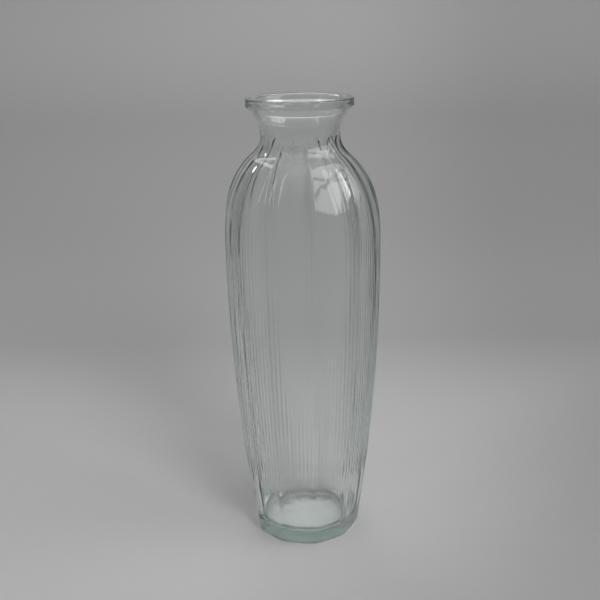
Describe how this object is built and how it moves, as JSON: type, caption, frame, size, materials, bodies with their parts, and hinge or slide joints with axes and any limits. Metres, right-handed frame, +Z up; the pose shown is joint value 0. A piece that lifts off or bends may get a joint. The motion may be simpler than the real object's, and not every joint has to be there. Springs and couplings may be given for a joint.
{
  "type": "bottle vase",
  "caption": "Tall clear glass bottle vase with flat panels, fine upright ribs, a short flared neck, a flat disc lip and a thick foot.",
  "frame": {"origin": "middle of the standing ring, on the plane that the vase stands on", "axes": "+Z up along the vase's axis, from foot to mouth; -Y is the front that the picture shows"},
  "size_m": [0.1022, 0.1024, 0.3],
  "materials": {
    "clear_glass": "clear soda-lime glass with a faint green tint in thick places, fire-polished"
  },
  "bodies": {
    "root": {"glass_vase": "clear_glass"}
  },
  "joints": []
}
